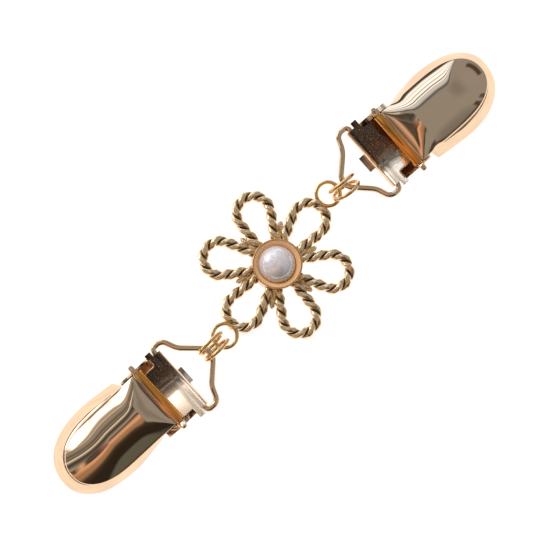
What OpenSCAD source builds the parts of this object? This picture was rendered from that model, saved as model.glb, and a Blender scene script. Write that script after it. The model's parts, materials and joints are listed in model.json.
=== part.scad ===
// Sweater clip: a rope-petalled flower with a half-pearl, linked by jump rings and
// wire bails to a lever clip on each side. Millimetres, +Z up. The origin is the
// centre of the flower's back, on the surface that the jewel lies on.

/* [Flower] */
// Distance from the flower's centre to the middle of the rope at a petal's tip
petal_reach = 15.7; // [14.8:0.1:17]
// Radius of the rope's middle line round a petal's outer end
petal_round = 3.75; // [3.5:0.05:4]
// Half the distance between a petal's two legs where they enter the cup
petal_root_half = 1.75; // [1.6:0.05:1.9]
// Thickness of the twisted rope
rope_d = 2.4; // [2.1:0.1:2.6]
// Length of rope in which one strand goes once round
rope_lay = 5.4; // [4.5:0.1:7]
// Depth of the groove between the two strands
strand_groove = 0.3; // [0.1:0.02:0.4]
// Turn of the flower's eyes from the jewel's long axis, in degrees
flower_turn = 12.4; // [0:0.2:20]

/* [Pearl and cup] */
// Diameter of the half-pearl
pearl_d = 8; // [7.4:0.1:8.4]
// Width of the bright slope between the pearl and the cup's rim
cup_slope = 1.05; // [0.8:0.05:1.3]
// Width of the cup's thin rim
cup_rim = 0.3; // [0.2:0.05:0.5]
// Height of the cup's rim above the surface
cup_h = 3.4; // [3:0.1:3.8]
// Height of the seat that the pearl stands on
pearl_seat_z = 1.5; // [1.2:0.1:1.8]

/* [Eyes and jump rings] */
// Inner diameter of the round eyes on the flower
eye_inner_d = 4.3; // [4.1:0.1:4.8]
// Thickness of an eye's wire
eye_wire_d = 0.8; // [0.6:0.05:0.95]
// Height of an eye's wire above the surface
eye_z = 1.8; // [1.6:0.05:1.9]
// Outer diameter of a jump ring
ring_outer_d = 7; // [6.8:0.1:7.6]
// Thickness of a jump ring's wire
ring_wire_d = 0.85; // [0.7:0.05:0.95]
// Gap between the two jump rings of a pair, where they touch the surface
ring_pair_gap = 0.12; // [0.08:0.02:0.3]
// Angle by which each ring of a pair leans away from the other, in degrees
ring_fan = 8; // [0:1:9]
// Width of the slit where a jump ring was closed
ring_slit = 0.12; // [0.05:0.01:0.3]

/* [Wire bails] */
// Thickness of the bail's wire
bail_wire_d = 1.3; // [1.1:0.05:1.4]
// Distance from the middle of the wire at the apex to the bail's hinge line
bail_len = 8.5; // [7.8:0.1:9]
// Greatest half-width of the bail, to the middle of its wire
bail_half = 8.7; // [8.4:0.05:8.9]
// Slope of the bail's long legs from its middle line, in degrees
bail_leg_angle = 44; // [42:0.5:46]
// Rise of the apex above the hinge line
bail_rise = 0.4; // [0.2:0.05:0.6]

/* [Clip plates] */
// Thickness of the sheet metal
sheet = 0.5; // [0.4:0.02:0.56]
// How far the rear bar reaches past the middle of the bail's wire at each end
bar_reach = -0.05; // [-0.2:0.05:0.4]
// Front edge of the rear bar, from the clip's rear edge
bar_len = 3.4; // [3.2:0.1:3.8]
// Width of the small rear tab
tab_w = 3.8; // [3:0.1:5]
// Length of the small rear tab behind the roll
tab_len = 1.1; // [0.8:0.1:1.4]
// Length of the base plate, from the clip's rear edge
base_len = 29.3; // [28:0.1:29.6]
// Width of the plates under the cover
tongue_w = 12.2; // [11:0.1:12.6]
// Thickness of the folded ear on the far side
ear_far_t = 1.1; // [0.6:0.05:1.3]
// Front edge of the ears, from the clip's rear edge
ear_front = 10.8; // [10.2:0.1:11]
// Length of the side notch in the upper plate
notch_len = 3.6; // [2.4:0.1:3.8]
// Depth of the side notch
notch_depth = 1.9; // [1.2:0.1:2.4]

/* [Cover] */
// Length of the whole clip, to the tip of the cover
clip_len = 33.5; // [32:0.1:34]
// Width of the cover's dome
dome_w = 13.4; // [12.8:0.1:13.6]
// Length of the cover's rounded tip, flange included
tip_round = 11.2; // [9.5:0.1:12]
// Height of the dome's flat top above the surface
cover_top_z = 7.2; // [6.9:0.1:8]
// Height of the crease between dome and flange
crease_z = 3.6; // [3.4:0.1:4]
// Height of the flange's lower edge above the surface
skirt_z = 0.7; // [0.6:0.05:1]
// Width of the flange on the near side
flange_near = 2.6; // [1.9:0.1:2.8]
// Width of the flange on the far side
flange_far = 1.5; // [1.1:0.1:1.8]
// Width of the flange at the tip
flange_tip = 2.2; // [1.8:0.1:2.6]
// Thickness of the cover's wall
cover_wall = 0.6; // [0.45:0.05:0.7]
// Sideways place of the cover's middle line from the bail's
cover_shift = -0.6; // [-0.7:0.05:-0.4]

/* [Hinge] */
// Diameter of the hinge pin
pin_d = 1.4; // [1.2:0.05:1.5]
// Distance of the hinge pin from the clip's rear edge
pin_x = 7.3; // [7.1:0.05:7.5]
// Diameter of the cover's barrel round the pin
barrel_d = 2.7; // [2.5:0.05:2.8]
// Length of the pin's head beyond the near ear
pin_near = 1.3; // [0.8:0.1:1.6]
// Length of the pin's head beyond the far ear
pin_far = 0.7; // [0.4:0.1:1.2]

/* [Clearances] */
// Radial clearance of a turning pin in its bore
run_gap = 0.05; // [0.03:0.01:0.08]
// Radial clearance of the fixed hinge pin in the ears
seat_gap = 0.02; // [0.01:0.01:0.04]
// Gap between plates that lie on each other
sheet_gap = 0.05; // [0.03:0.01:0.1]
// Gap between the cover's sides and the ears
side_gap = 0.22; // [0.15:0.01:0.26]
// Gap between the cover's barrel and the upper plate
barrel_gap = 0.12; // [0.08:0.01:0.2]

/* [Hidden] */
$fn = 48;

gold = [0.90, 0.74, 0.52];
pale_gold = [0.94, 0.80, 0.60];
pearl_white = [0.93, 0.91, 0.93];

// How each side lies: the way from the eye to the rings, the rings' place past the
// eye's wire, the rings' turn and lean, the bail's apex from the rings' centre, and
// the clip's own turn. Columns: link_turn, ring_past, ring_yaw, ring_lean,
// apex_x, apex_y, clip_yaw, side_turn. Turns are in degrees; ring_past, apex_x and
// apex_y are shares of a jump ring's outer diameter.
LINK_TURN = 0;
RING_PAST = 1;
RING_YAW = 2;
RING_LEAN = 3;
APEX_X = 4;
APEX_Y = 5;
CLIP_YAW = 6;
SIDE_TURN = 7;
side_a = [-18, 0.116, -3, 11, 0.132, 0.073, 0, 0];
side_b = [3.7, 0.14, 2.9, 1.1, 0.188, 0.043, 1.5, 180];

// Flower
rope_r = rope_d / 2;
petal_count = 6;
petal_step = 360 / petal_count;
// How far a petal's rope starts inside the cup's wall
root_sink = 0.75;
// How far the web between two legs reaches out from the cup
web_len = 3.4;
// Gap between a petal's tip and the wire of its eye, which the neck bridges
eye_clear = 0.05;
cup_in_r = pearl_d / 2 + cup_slope;
cup_r = cup_in_r + cup_rim;
root_x = cup_r - root_sink;
petal_centre_x = petal_reach - petal_round;
root_far = norm([petal_centre_x - root_x, petal_root_half]);
leg_heading = asin(petal_round / root_far)
  - atan2(petal_root_half, petal_centre_x - root_x);
leg_len = sqrt(root_far * root_far - petal_round * petal_round);
bend_angle = 180 + 2 * leg_heading;
bend_len = petal_round * bend_angle * PI / 180;
rope_len = 2 * leg_len + bend_len;
rope_turns = round(2 * rope_len / rope_lay) / 2;
rope_rings = 46;
rope_sides = 10;
eye_wire_r = eye_wire_d / 2;
eye_mid_r = (eye_inner_d + eye_wire_d) / 2;
eye_reach = petal_reach + eye_mid_r + eye_wire_r + eye_clear;
pearl_gap = 0.05;

// Rings and bails
ring_wire_r = ring_wire_d / 2;
ring_mid_r = ring_outer_d / 2 - ring_wire_r;
ring_step = ring_wire_d + ring_pair_gap;
ring_cut_angle = ring_slit / ring_mid_r * 180 / PI;
bail_wire_r = bail_wire_d / 2;

// Clip plates, measured from the rear edge of the roll
// Gap between the roll's ends and the bail's legs
roll_end_gap = 0.6;
// The plate's top stays a hair below the roll's
plate_dip = 0.02;
// Gap in front of the bail where the rear bar reaches past the roll
bar_clear = 0.15;
// Metal round the pin's hole at the top of an ear
ear_wall = 0.45;
bar_w = 2 * (bail_half + bar_reach);
roll_r = bail_wire_r + run_gap + sheet;
roll_x = roll_r;
roll_z = sheet + sheet_gap + roll_r;
roll_half = bail_half - bail_wire_r - roll_end_gap;
plate_top_z = roll_z + roll_r - plate_dip;
overhang_x = roll_x + bail_wire_r + bar_clear;
pin_z = plate_top_z + barrel_gap + barrel_d / 2;
pin_r = pin_d / 2;
barrel_r = barrel_d / 2;
dome_half = dome_w / 2;
near_in_y = cover_shift - dome_half - side_gap;
far_in_y = cover_shift + dome_half + side_gap;
near_out_y = near_in_y - sheet;
far_out_y = far_in_y + ear_far_t;
ear_r = pin_r + ear_wall;
notch_in_y = near_in_y + notch_depth;
tongue_y = cover_shift;

// Middle line of one petal's rope, in the petal's own frame with +X outwards
function leg_point(s) = [
  root_x + s * cos(leg_heading),
  petal_root_half + s * sin(leg_heading)
];
function bend_point(s) =
  let(a = 90 + leg_heading - s / petal_round * 180 / PI)
  [petal_centre_x + petal_round * cos(a), petal_round * sin(a)];
function rope_point(s) =
  s <= leg_len ? leg_point(s)
  : s <= leg_len + bend_len ? bend_point(s - leg_len)
  : let(p = leg_point(rope_len - s)) [p[0], -p[1]];
function rope_heading(s) =
  s <= leg_len ? leg_heading
  : s <= leg_len + bend_len ? leg_heading - (s - leg_len) / petal_round * 180 / PI
  : leg_heading - bend_angle;
function strand_r(a) = rope_r - strand_groove * (1 - cos(2 * a)) / 2;
function rope_section(s) = [
  for (k = [0:rope_sides - 1])
    let(
      p = rope_point(s),
      h = rope_heading(s),
      a = 360 * k / rope_sides,
      r = strand_r(a + 360 * rope_turns * s / rope_len)
    )
    [p[0] - sin(h) * r * cos(a), p[1] + cos(h) * r * cos(a), rope_r + r * sin(a)]
];

function mean(points) = [for (axis = [0:2]) [for (p = points) 1] * [for (p = points) p[axis]]]
  / len(points);

// Closed solid through rings of equal length, each end closed round a middle point
module tube(rings) {
  count = len(rings);
  sides = len(rings[0]);
  top = (count - 1) * sides;
  middle = count * sides;
  walls = [
    for (i = [0:count - 2], k = [0:sides - 1])
      let(m = (k + 1) % sides)
      each [
        [i * sides + k, (i + 1) * sides + k, (i + 1) * sides + m],
        [i * sides + k, (i + 1) * sides + m, i * sides + m]
      ]
  ];
  ends = [
    for (k = [0:sides - 1])
      let(m = (k + 1) % sides)
      each [[k, m, middle], [top + m, top + k, middle + 1]]
  ];
  polyhedron(
    concat([for (ring = rings) each ring], [mean(rings[0]), mean(rings[count - 1])]),
    concat(walls, ends)
  );
}

module petal_rope() {
  tube([for (i = [0:rope_rings]) rope_section(rope_len * i / rope_rings)]);
}

// Web of cast metal that joins the legs of two petals, along +X
module leg_web() {
  web_reach = cup_r + web_len;
  web_z = rope_r - 0.55;
  web_t = 1.1;
  hull() {
    translate([cup_r + 0.2, 0, web_z])
      cylinder(r = 0.7, h = web_t, $fn = 12);
    translate([web_reach, 0, web_z])
      cylinder(r = 1.15, h = web_t, $fn = 12);
  }
}

// Neck of cast metal between a petal's tip and its eye, along +X
module eye_neck() {
  hull() {
    translate([petal_reach, 0, rope_r])
      sphere(r = 0.8, $fn = 12);
    translate([eye_reach - eye_mid_r + 0.2, 0, eye_z])
      sphere(r = eye_wire_r + 0.1, $fn = 12);
  }
}

module eye() {
  translate([eye_reach, 0, eye_z])
    rotate_extrude($fn = 28)
      translate([eye_mid_r, 0])
        circle(r = eye_wire_r, $fn = 10);
}

module cup() {
  seat_r = pearl_d / 2 + 0.15;
  bevel = 0.25;
  rotate_extrude()
    polygon([
      [0, 0], [cup_r - bevel, 0], [cup_r, bevel], [cup_r, cup_h - 0.1],
      [cup_r - 0.1, cup_h], [cup_in_r, cup_h], [cup_in_r - 0.12, cup_h - 0.3],
      [(cup_in_r + seat_r) / 2, (cup_h + pearl_seat_z) / 2], [seat_r, pearl_seat_z + 0.3],
      [seat_r, pearl_seat_z], [0, pearl_seat_z]
    ]);
}

module flower_frame() {
  color(gold)
    rotate([0, 0, flower_turn]) {
      for (i = [0:petal_count - 1])
        rotate([0, 0, i * petal_step]) {
          petal_rope();
          rotate([0, 0, petal_step / 2]) leg_web();
        }
      for (turn = [0, 180])
        rotate([0, 0, turn]) {
          eye();
          eye_neck();
        }
      cup();
    }
}

module pearl() {
  color(pearl_white)
    translate([0, 0, pearl_seat_z + pearl_gap])
      rotate_extrude()
        intersection() {
          circle(r = pearl_d / 2, $fn = 96);
          square(pearl_d);
        }
}

// Centre of a pair of rings, in the plane of the surface
function eye_centre() = eye_reach * [cos(flower_turn), sin(flower_turn)];
function ring_centre(side) = eye_centre()
  + (eye_mid_r + ring_outer_d * side[RING_PAST])
  * [cos(side[LINK_TURN]), sin(side[LINK_TURN])];
function ring_centre_z(side) = ring_mid_r * cos(side[RING_LEAN]) + ring_wire_r
  + ring_step / 2 * sin(side[RING_LEAN]);
function apex_centre(side) = ring_centre(side) + ring_outer_d * [side[APEX_X], side[APEX_Y]];

// One ring of a pair: place is -1 or 1. The ring stands on its edge and leans, and the
// two rings of a pair open upwards like a V.
module jump_ring(side, place) {
  c = ring_centre(side);
  color(pale_gold)
    rotate([0, 0, side[SIDE_TURN]])
      translate([c[0], c[1], ring_centre_z(side)])
        rotate([0, 0, side[RING_YAW]])
          rotate([90 + side[RING_LEAN], 0, 0])
            translate([0, -ring_mid_r, place * ring_step / 2])
              rotate([place * ring_fan, 0, 0])
                translate([0, ring_mid_r, 0])
                  rotate([0, 0, 90 + place * 40])
                    rotate_extrude(angle = 360 - ring_cut_angle)
                      translate([ring_mid_r, 0])
                        circle(r = ring_wire_r, $fn = 16);
}

// Moves a clip or bail from its own frame to its side. The bail's hinge line is at
// roll_x, and the frame's X runs from the bail's apex to the cover's tip.
module on_side(side) {
  c = apex_centre(side);
  flat_len = sqrt(bail_len * bail_len - bail_rise * bail_rise);
  rotate([0, 0, side[SIDE_TURN]])
    translate([c[0], c[1], 0])
      rotate([0, 0, side[CLIP_YAW]])
        translate([flat_len - roll_x, 0, 0])
          children();
}

// Corners of half a bail, from the middle of its apex to the end of its hinge pin,
// measured from the hinge line, and the bend radius at each corner
apex_flat = 0.5;
apex_bend = 1.6;
foot_angle = 68;
shoulder_x = -2.8;
hinge_bend = 1.0;
hinge_pin_end = 3.5;
foot_slope = tan(foot_angle);
leg_slope = tan(bail_leg_angle);
apex_corner_y = apex_flat + apex_bend * tan((90 - bail_leg_angle) / 2);
// Where the long leg's line meets the steep foot's line
foot_x = (bail_half - apex_corner_y - leg_slope * bail_len - foot_slope * shoulder_x)
  / (leg_slope - foot_slope);
bail_corners = [
  [-bail_len, 0], [-bail_len, apex_corner_y],
  [foot_x, apex_corner_y + leg_slope * (foot_x + bail_len)],
  [shoulder_x, bail_half], [0, bail_half], [0, hinge_pin_end]
];
bail_bends = [0, apex_bend, 1.2, 1.5, hinge_bend, 0];

function heading(p, q) = atan2(q[1] - p[1], q[0] - p[0]);
function turn_at(i) = let(
    before = heading(bail_corners[i - 1], bail_corners[i]),
    after = heading(bail_corners[i], bail_corners[i + 1]),
    t = after - before
  ) t > 180 ? t - 360 : t < -180 ? t + 360 : t;

// Places along half the bail as [x, y, heading]: each bend is stepped through
function bend_places(i) =
  let(
    before = heading(bail_corners[i - 1], bail_corners[i]),
    turn = turn_at(i),
    side = turn > 0 ? 1 : -1,
    trim = bail_bends[i] * tan(abs(turn) / 2),
    start = bail_corners[i] - trim * [cos(before), sin(before)],
    centre = start + side * bail_bends[i] * [-sin(before), cos(before)],
    steps = ceil(abs(turn) / 13)
  )
  [for (k = [0:steps])
    let(h = before + turn * k / steps)
    [
      centre[0] + side * bail_bends[i] * sin(h),
      centre[1] - side * bail_bends[i] * cos(h),
      h
    ]];
half_places = concat(
  [for (i = [1:len(bail_corners) - 2]) each bend_places(i)],
  [[0, bail_half - hinge_bend - 0.4, -90]]
);
bail_places = concat(
  [for (i = [len(half_places) - 1:-1:0])
    let(p = half_places[i])
    [p[0], -p[1], 180 - p[2]]],
  half_places
);
bail_sides = 12;
// The bent wire is a hair thinner than the straight pins that its ends run into
bent_r = bail_wire_r - 0.015;
function wire_section(p) = [
  for (k = [0:bail_sides - 1])
    let(a = 360 * k / bail_sides)
    [
      p[0] - sin(p[2]) * bent_r * cos(a),
      p[1] + cos(p[2]) * bent_r * cos(a),
      bent_r * sin(a)
    ]
];

module bail(side) {
  tilt = asin(bail_rise / bail_len);
  color(pale_gold)
    on_side(side)
      translate([roll_x, 0, roll_z])
        rotate([0, tilt, 0]) {
          tube([for (p = bail_places) wire_section(p)]);
          for (turn = [90, -90])
            rotate([turn, 0, 0])
              translate([0, 0, hinge_pin_end])
                cylinder(r = bail_wire_r, h = bail_half - hinge_bend - hinge_pin_end);
        }
}

// Upright ear with the pin's hole, from y_low to y_low + thick
module ear(y_low, thick) {
  foot_h = 1.5;
  translate([0, y_low + thick, 0])
    rotate([90, 0, 0])
      linear_extrude(thick)
        difference() {
          union() {
            polygon([
              [bar_len, 0], [ear_front, 0], [ear_front, foot_h],
              [pin_x + ear_r, pin_z], [pin_x - ear_r, pin_z], [bar_len, foot_h]
            ]);
            translate([pin_x, pin_z]) circle(r = ear_r);
          }
          translate([pin_x, pin_z]) circle(r = pin_r + seat_gap);
        }
}

module base_plate(side) {
  end_r = tongue_w / 2;
  color(gold)
    on_side(side) {
      translate([roll_x / 2, -roll_half, 0])
        cube([bar_len - roll_x / 2, 2 * roll_half, sheet]);
      translate([-tab_len, -tab_w / 2, 0])
        cube([tab_len + roll_x, tab_w, sheet]);
      translate([bar_len - 0.2, near_out_y, 0])
        cube([ear_front - bar_len + 0.2, far_out_y - near_out_y, sheet]);
      translate([ear_front - 0.2, tongue_y - end_r, 0])
        cube([base_len - end_r - ear_front + 0.2, tongue_w, sheet]);
      translate([base_len - end_r, tongue_y, 0])
        cylinder(r = end_r, h = sheet);
      ear(near_out_y, sheet);
      ear(far_in_y, ear_far_t);
    }
}

// Side view of the upper plate: level at the rear, down to the base, with a lip
module jaw_profile() {
  low_z = sheet + 0.6;
  step_x = ear_front + 0.4;
  run = 4.4;
  lip_x = base_len - 0.7;
  low = plate_top_z - sheet;
  polygon([
    [roll_x, low], [step_x, low], [step_x + run, low_z], [lip_x - sheet, low_z],
    [lip_x - sheet, sheet + 0.2], [lip_x, sheet + 0.2], [lip_x, low_z + sheet],
    [step_x + run + 0.15, low_z + sheet], [step_x + 0.15, plate_top_z],
    [roll_x, plate_top_z]
  ]);
}

// Plan of the upper plate: the rear bar, the notched waist and the tongue
module jaw_plan() {
  corner = 0.35;
  end_r = tongue_w / 2 - 0.3;
  end_x = base_len - end_r - 0.8;
  notch_x = bar_len - 0.2;
  waist_far = far_in_y - 0.12;
  translate([roll_x - 0.5, -roll_half]) square([overhang_x - roll_x + 0.6, 2 * roll_half]);
  translate([overhang_x, -bar_w / 2]) square([bar_len - overhang_x, bar_w]);
  difference() {
    translate([bar_len - 0.1, near_in_y + 0.12])
      square([ear_front - bar_len + 0.05, waist_far - near_in_y - 0.12]);
    translate([notch_x, near_in_y - 1])
      square([notch_len, notch_in_y - corner - near_in_y + 1]);
    translate([notch_x, notch_in_y - 2 * corner])
      square([notch_len - corner, 2 * corner]);
    translate([notch_x + notch_len - corner, notch_in_y - corner])
      circle(r = corner, $fn = 24);
  }
  translate([ear_front - 0.2, tongue_y - end_r])
    square([end_x + 0.3 - ear_front, 2 * end_r]);
  translate([end_x, tongue_y]) circle(r = end_r);
}

module jaw_plate(side) {
  color(gold)
    on_side(side)
      difference() {
        union() {
          intersection() {
            translate([0, bar_w, 0])
              rotate([90, 0, 0])
                linear_extrude(2 * bar_w) jaw_profile();
            linear_extrude(plate_top_z + 1) jaw_plan();
          }
          translate([roll_x, roll_half, roll_z])
            rotate([90, 0, 0])
              cylinder(r = roll_r, h = 2 * roll_half);
        }
        translate([roll_x, bar_w, roll_z])
          rotate([90, 0, 0])
            cylinder(r = bail_wire_r + run_gap, h = 2 * bar_w);
      }
}

// Cover. Its rings are closed outlines seen from above: a straight rear, straight
// sides and a half-ellipse at the tip. Rows step from the skirt up to the dome's top.
front_x = clip_len - tip_round;
shell_rear_x = pin_x + pin_r + run_gap + 0.1;
roof_run = 6.4;
cheek_z = plate_top_z + 0.17;
rear_z = pin_z + sqrt(pow(barrel_r, 2) - pow(shell_rear_x - pin_x, 2)) - 0.05;
dome_power = 2.3;
barrel_inset = 0.03;
flange_start = ear_front + 0.15;
flange_full = flange_start + 0.8;

rear_shares = [0, 0.35, 0.7, 0.93];
side_run = front_x - shell_rear_x;
side_shares = [
  0, 0.04, 0.12, (flange_start - shell_rear_x) / side_run,
  (flange_full - shell_rear_x) / side_run, 0.4, 0.7
];
tip_angles = [0, 12, 24, 36, 48, 60, 70, 80];

function ramp(x, from, to) = min(1, max(0, (x - from) / (to - from)));
// Half of a ring from the middle of the rear to just before the tip, on the side
// that sign gives: share is the ring's size, out_side and out_tip push it outwards
function half_ring(sign, share, out_side, out_tip, inset) =
  let(
    rear = shell_rear_x + (1 - share) * roof_run + inset,
    half = dome_half * share - inset,
    tip = (clip_len - flange_tip - front_x) * share + out_tip - inset,
    wide = half + out_side
  )
  concat(
    [for (k = rear_shares) [rear, sign * half * k]],
    [for (k = side_shares)
      let(x = rear + (front_x - rear) * k)
      [x, sign * (half + out_side * ramp(x - inset, flange_start, flange_full))]],
    [for (a = tip_angles) [front_x + tip * sin(a), sign * wide * cos(a)]]
  );
function reversed(v) = [for (i = [len(v) - 1:-1:0]) v[i]];
function whole_ring(share, out, inset) =
  let(
    far = half_ring(1, share, out * flange_far, out * flange_tip, inset),
    near = half_ring(-1, share, out * flange_near, out * flange_tip, inset),
    tip_x = front_x + (clip_len - flange_tip - front_x) * share + out * flange_tip - inset
  )
  concat(far, [[tip_x, 0]], [for (i = [len(near) - 1:-1:1]) near[i]]);

// Height of a ring's point: rows of the flange climb from the lower edge to the
// crease, rows of the dome from the crease to the roof
function edge_z(x) = cheek_z + (skirt_z - cheek_z) * ramp(x, flange_start, flange_full);
function crease_at(x) = rear_z + (crease_z - rear_z) * ramp(x, shell_rear_x + 0.4, flange_full);
function flange_z(x, lift) = edge_z(x) + (crease_at(x) - edge_z(x)) * lift;
function dome_z(x, share) =
  crease_at(x) + (cover_top_z - crease_at(x)) * (1 - pow(share, dome_power));
function flange_row(turn, inset) = [
  for (p = whole_ring(1, cos(turn), inset))
    [p[0], p[1], flange_z(p[0] - inset, sin(turn)) - inset * sin(turn)]
];
function dome_row(share, inset, drop) = [
  for (p = whole_ring(share, 0, inset)) [p[0], p[1], dome_z(p[0] - drop, share) - drop]
];

flange_turns = [0, 30, 60];
dome_shares = [1, 0.88, 0.72, 0.52, 0.3, 0.12];

module cover_shell() {
  outer = concat(
    [for (t = flange_turns) flange_row(t, 0)],
    [for (s = dome_shares) dome_row(s, 0, 0)]
  );
  inner = concat(
    [for (t = flange_turns) flange_row(t, cover_wall)],
    [for (s = dome_shares) dome_row(s, s * cover_wall * 0.7, cover_wall)]
  );
  tube(concat(reversed(outer), inner));
}

module cover(side) {
  color(pale_gold)
    on_side(side)
      translate([0, cover_shift, 0]) {
        cover_shell();
        translate([pin_x, 0, pin_z])
          rotate([90, 0, 0])
            difference() {
              cylinder(r = barrel_r, h = dome_w - 2 * barrel_inset, center = true);
              cylinder(r = pin_r + run_gap, h = dome_w + 2, center = true);
            }
      }
}

module hinge_pin(side) {
  bevel = 0.2;
  low = near_out_y - pin_near;
  high = far_out_y + pin_far;
  color(gold)
    on_side(side)
      translate([pin_x, high, pin_z])
        rotate([90, 0, 0]) {
          cylinder(r1 = pin_r - bevel, r2 = pin_r, h = bevel);
          translate([0, 0, bevel]) cylinder(r = pin_r, h = high - low - 2 * bevel);
          translate([0, 0, high - low - bevel])
            cylinder(r1 = pin_r, r2 = pin_r - bevel, h = bevel);
        }
}

flower_frame();
pearl();
jump_ring(side_a, -1);  // ring_a1
jump_ring(side_a, 1);  // ring_a2
jump_ring(side_b, -1);  // ring_b1
jump_ring(side_b, 1);  // ring_b2
bail(side_a);  // bail_a
bail(side_b);  // bail_b
base_plate(side_a);  // base_a
base_plate(side_b);  // base_b
jaw_plate(side_a);  // jaw_a
jaw_plate(side_b);  // jaw_b
cover(side_a);  // cover_a
cover(side_b);  // cover_b
hinge_pin(side_a);  // pin_a
hinge_pin(side_b);  // pin_b
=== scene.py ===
"""Looks of the sweater clip: a rope-petalled flower with a half-pearl between two lever clips.

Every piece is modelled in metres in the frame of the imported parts. Clip pieces are modelled in
their clip's own frame, whose X runs from the bail's apex to the cover's tip, and then placed.
Named sizes are in millimetres and named turns in degrees.
"""
import json
import math
import bpy
from mathutils import Matrix, Vector


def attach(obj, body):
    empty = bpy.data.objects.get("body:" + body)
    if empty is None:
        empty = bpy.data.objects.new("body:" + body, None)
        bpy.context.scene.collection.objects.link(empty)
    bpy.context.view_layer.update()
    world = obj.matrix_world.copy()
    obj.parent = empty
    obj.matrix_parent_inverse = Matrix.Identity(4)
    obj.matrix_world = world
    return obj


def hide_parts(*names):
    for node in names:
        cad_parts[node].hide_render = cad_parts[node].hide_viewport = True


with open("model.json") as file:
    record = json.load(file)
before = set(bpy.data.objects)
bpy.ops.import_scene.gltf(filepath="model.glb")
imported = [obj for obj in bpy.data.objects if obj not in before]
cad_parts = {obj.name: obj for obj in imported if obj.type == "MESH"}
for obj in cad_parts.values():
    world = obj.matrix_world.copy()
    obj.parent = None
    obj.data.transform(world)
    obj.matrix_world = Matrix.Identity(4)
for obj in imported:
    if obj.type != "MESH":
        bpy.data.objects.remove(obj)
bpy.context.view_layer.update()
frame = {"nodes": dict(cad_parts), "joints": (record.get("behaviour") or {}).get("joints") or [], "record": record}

MM = 0.001
UP = Vector((0, 0, 1))
NO_TURN = Matrix.Identity(4)


# Modelling helpers

def start(name, add, **where):
    """Adds a primitive with nothing else selected, and names it."""
    if bpy.context.object and bpy.context.object.mode != "OBJECT":
        bpy.ops.object.mode_set(mode="OBJECT")
    bpy.ops.object.select_all(action="DESELECT")
    add(**where)
    piece = bpy.context.active_object
    piece.name = name
    piece.data.name = name
    return piece


def only(piece):
    """Makes one piece the active and the only selected one."""
    bpy.ops.object.select_all(action="DESELECT")
    piece.select_set(True)
    bpy.context.view_layer.objects.active = piece


def edit(piece):
    """Opens one piece in edit mode."""
    only(piece)
    bpy.ops.object.mode_set(mode="EDIT")


def done():
    """Leaves edit mode."""
    bpy.ops.object.mode_set(mode="OBJECT")


def pick(piece, test):
    """In edit mode, selects the points that pass a test on their place."""
    bpy.ops.mesh.select_mode(type="VERT")
    bpy.ops.mesh.select_all(action="DESELECT")
    bpy.ops.object.mode_set(mode="OBJECT")
    for point in piece.data.vertices:
        point.select = bool(test(point.co))
    bpy.ops.object.mode_set(mode="EDIT")


def pick_at(piece, place):
    """In edit mode, selects the point at a place."""
    pick(piece, lambda co: (co - Vector(place) * MM).length < 0.01 * MM)


def close_ends(piece):
    """Puts a face over each open end of a tube."""
    edit(piece)
    bpy.ops.mesh.select_all(action="DESELECT")
    bpy.ops.mesh.select_non_manifold()
    bpy.ops.mesh.edge_face_add()
    done()


def tidy_mesh(piece):
    """Merges doubles and turns the faces outwards."""
    edit(piece)
    bpy.ops.mesh.select_all(action="SELECT")
    bpy.ops.mesh.remove_doubles(threshold=0.002 * MM)
    bpy.ops.mesh.normals_make_consistent(inside=False)
    done()


def modify(piece, kind, **settings):
    """Adds a modifier, sets it and applies it."""
    only(piece)
    modifier = piece.modifiers.new(kind.title(), kind)
    for key, value in settings.items():
        setattr(modifier, key, value)
    bpy.ops.object.modifier_apply(modifier=modifier.name)


def settle(piece, place=NO_TURN, smooth=40):
    """Moves the piece to its place, with the place in its mesh, and smooths its shading."""
    only(piece)
    piece.matrix_world = place @ piece.matrix_world
    bpy.ops.object.transform_apply(location=True, rotation=True, scale=True)
    if smooth:
        bpy.ops.object.shade_smooth_by_angle(angle=math.radians(smooth))
    return piece


def copy_of(piece, name):
    """A copy of a piece, with its own mesh."""
    only(piece)
    bpy.ops.object.duplicate(linked=False)
    twin = bpy.context.active_object
    twin.name = name
    twin.data.name = name
    return twin


def joined(pieces, name):
    """One piece made of several."""
    only(pieces[0])
    for piece in pieces:
        piece.select_set(True)
    bpy.ops.object.join()
    pieces[0].name = name
    pieces[0].data.name = name
    return pieces[0]


def wear(piece, body, slot, *nodes, finish=None):
    """Gives a finished piece the finish named, or else its slot's finish, puts it on its body and hides the CAD
    nodes it stands for.
    """
    piece.data.materials.clear()
    piece.data.materials.append(FINISHES[finish or slot])
    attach(piece, body)
    if nodes:
        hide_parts(*nodes)


def shift(x, y, z):
    """A move, given in millimetres."""
    return Matrix.Translation(Vector((x, y, z)) * MM)


def turn(axis, degrees):
    """A turn round an axis through the origin."""
    return Matrix.Rotation(math.radians(degrees), 4, axis)


def share_between(x, low, high):
    """How far x is on its way from low to high, from 0 to 1."""
    return min(1.0, max(0.0, (x - low) / (high - low)))


# Wires and turned pieces

def path(name, corners):
    """An open line of edges through the corners, extruded from one point."""
    piece = start(name, bpy.ops.mesh.primitive_plane_add, size=1 * MM)
    bpy.ops.object.mode_set(mode="EDIT")
    bpy.ops.mesh.select_all(action="SELECT")
    bpy.ops.mesh.merge(type="CENTER")
    here = Vector(corners[0])
    bpy.ops.transform.translate(value=here * MM)
    for corner in corners[1:]:
        way = Vector(corner) - here
        bpy.ops.mesh.extrude_region_move(TRANSFORM_OT_translate={"value": way * MM})
        here = Vector(corner)
    done()
    return piece


def round_corner(piece, corner, trim, steps):
    """Rounds one corner of a line with an arc that starts the trim away from it."""
    edit(piece)
    pick_at(piece, corner)
    bpy.ops.mesh.bevel(affect="VERTICES", offset=trim * MM, segments=steps)
    done()


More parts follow.
